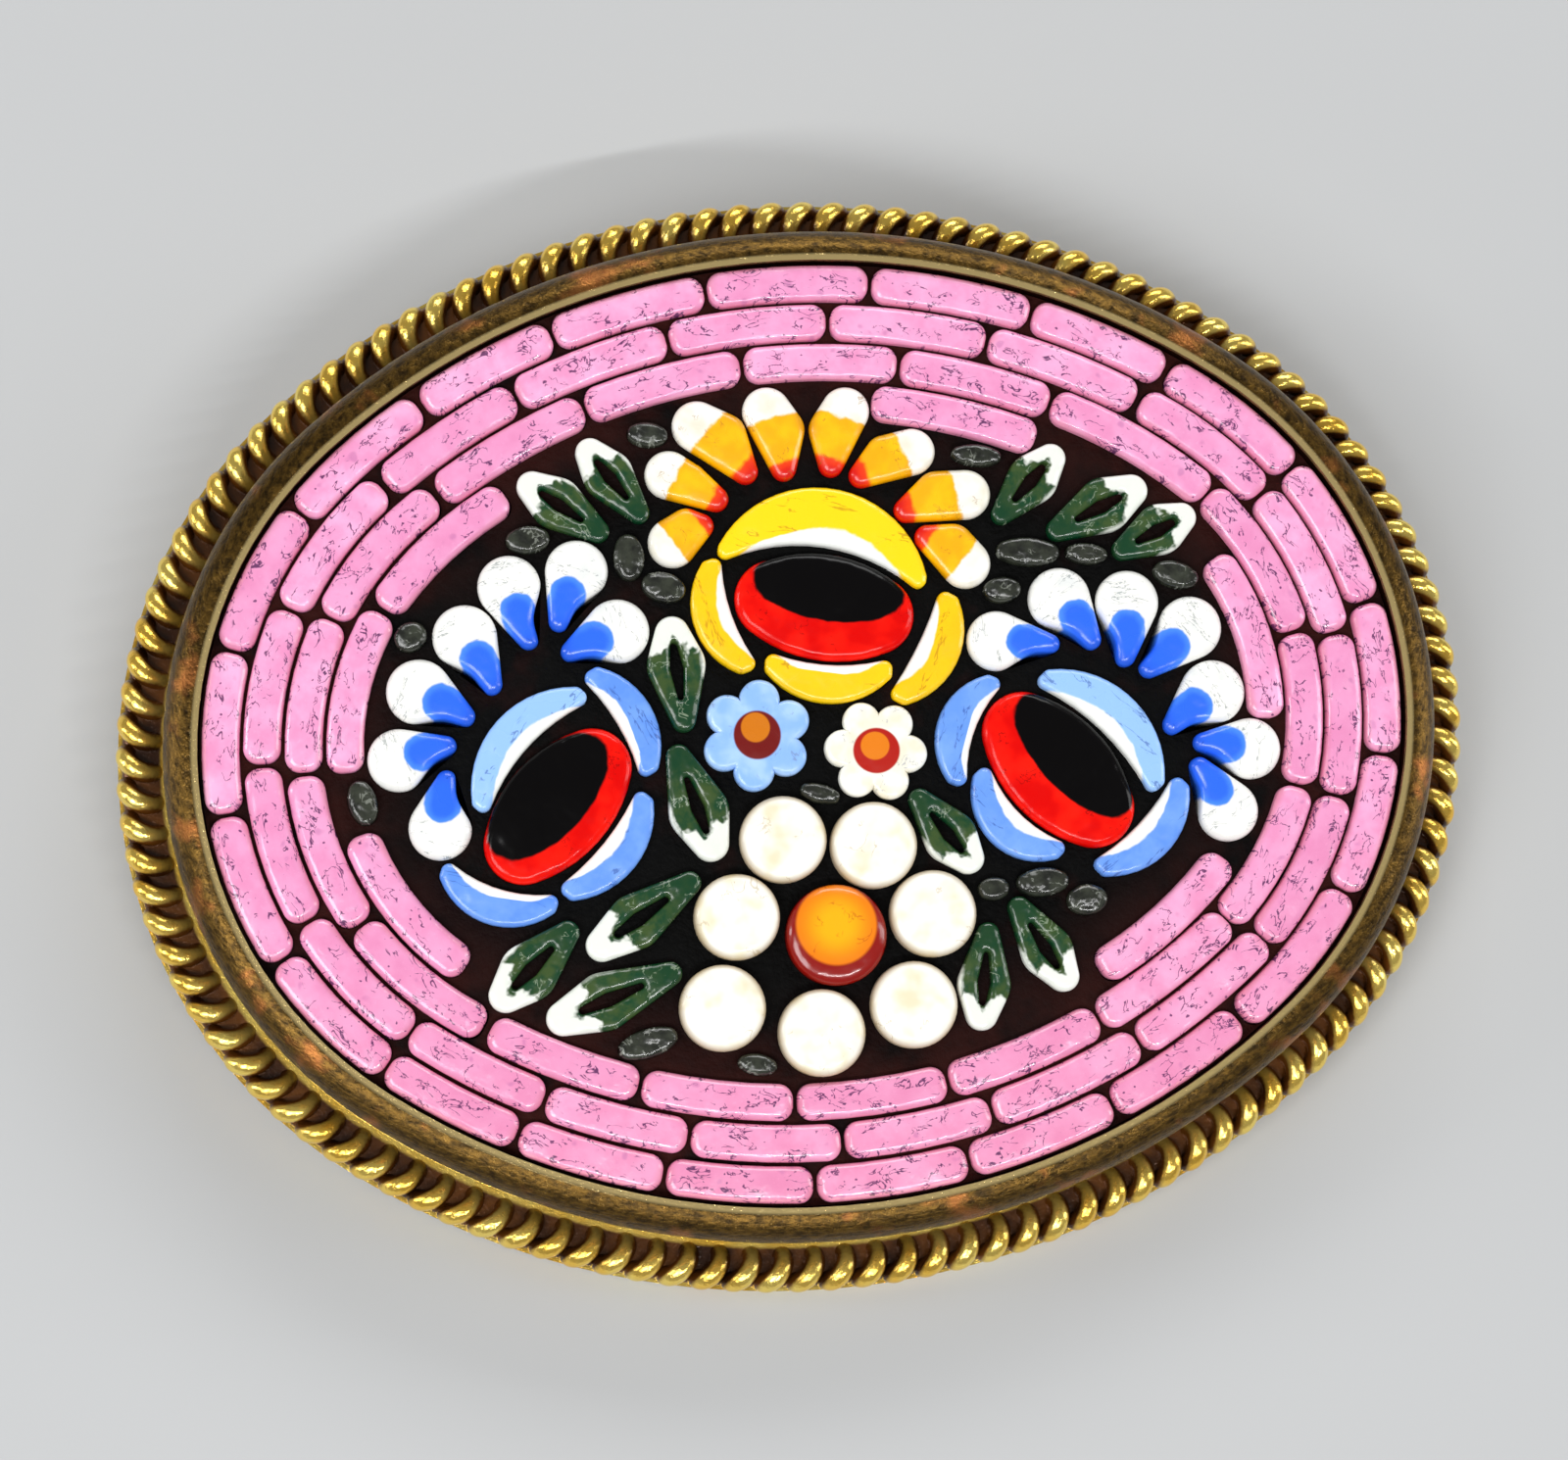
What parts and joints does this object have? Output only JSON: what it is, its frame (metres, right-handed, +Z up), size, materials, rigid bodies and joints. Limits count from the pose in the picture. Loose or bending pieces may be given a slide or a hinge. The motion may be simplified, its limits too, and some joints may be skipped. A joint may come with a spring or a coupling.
{
  "type": "micromosaic brooch",
  "caption": "Oval gilt brooch with a rope-twist border and smooth bezel round a field of bent pink glass rods with blue and yellow glass flowers, leaves and beads in black cement, and a pin on the back.",
  "frame": {"origin": "centre of the brooch's box, at the surface that it lies on", "axes": "+Z up from that surface, +X along the oval's long axis, +Y towards the top of the design"},
  "size_m": [0.0354, 0.0285, 0.0073],
  "materials": {
    "gilt": "worn gilding, rope bright and bezel brushed",
    "cement": "matt black cement",
    "pink_glass": "opaque glass, slightly worn gloss",
    "blue_glass": "opaque glass, slightly worn gloss",
    "yellow_glass": "opaque glass, slightly worn gloss",
    "dark_glass": "opaque glass, slightly worn gloss",
    "white_glass": "opaque glass, slightly worn gloss",
    "amber_glass": "opaque glass, slightly worn gloss",
    "green_glass": "opaque glass, slightly worn gloss",
    "grey_glass": "opaque glass, slightly worn gloss"
  },
  "bodies": {
    "root": {"setting": "gilt", "brooch_pin": "gilt", "mosaic_bed": "cement", "outer_rods": "pink_glass", "inner_rods": "pink_glass", "left_eye": "dark_glass", "left_crescent_1": "blue_glass", "left_crescent_2": "blue_glass", "left_crescent_3": "blue_glass", "left_crescent_4": "blue_glass", "left_petal_1": "blue_glass", "left_petal_2": "blue_glass", "left_petal_3": "blue_glass", "left_petal_4": "blue_glass", "left_petal_5": "blue_glass", "left_petal_6": "blue_glass", "left_petal_7": "blue_glass", "right_eye": "dark_glass", "right_crescent_1": "blue_glass", "right_crescent_2": "blue_glass", "right_crescent_3": "blue_glass", "right_crescent_4": "blue_glass", "right_petal_1": "blue_glass", "right_petal_2": "blue_glass", "right_petal_3": "blue_glass", "right_petal_4": "blue_glass", "right_petal_5": "blue_glass", "right_petal_6": "blue_glass", "right_petal_7": "blue_glass", "yellow_eye": "dark_glass", "yellow_crescent_1": "yellow_glass", "yellow_crescent_2": "yellow_glass", "yellow_crescent_3": "yellow_glass", "yellow_crescent_4": "yellow_glass", "yellow_petal_1": "yellow_glass", "yellow_petal_2": "yellow_glass", "yellow_petal_3": "yellow_glass", "yellow_petal_4": "yellow_glass", "yellow_petal_5": "yellow_glass", "yellow_petal_6": "yellow_glass", "yellow_petal_7": "yellow_glass", "yellow_petal_8": "yellow_glass", "pale_blossom": "blue_glass", "white_blossom": "white_glass", "white_beads": "white_glass", "amber_bead": "amber_glass", "leaves": "green_glass", "grey_chips": "grey_glass"}
  },
  "joints": []
}
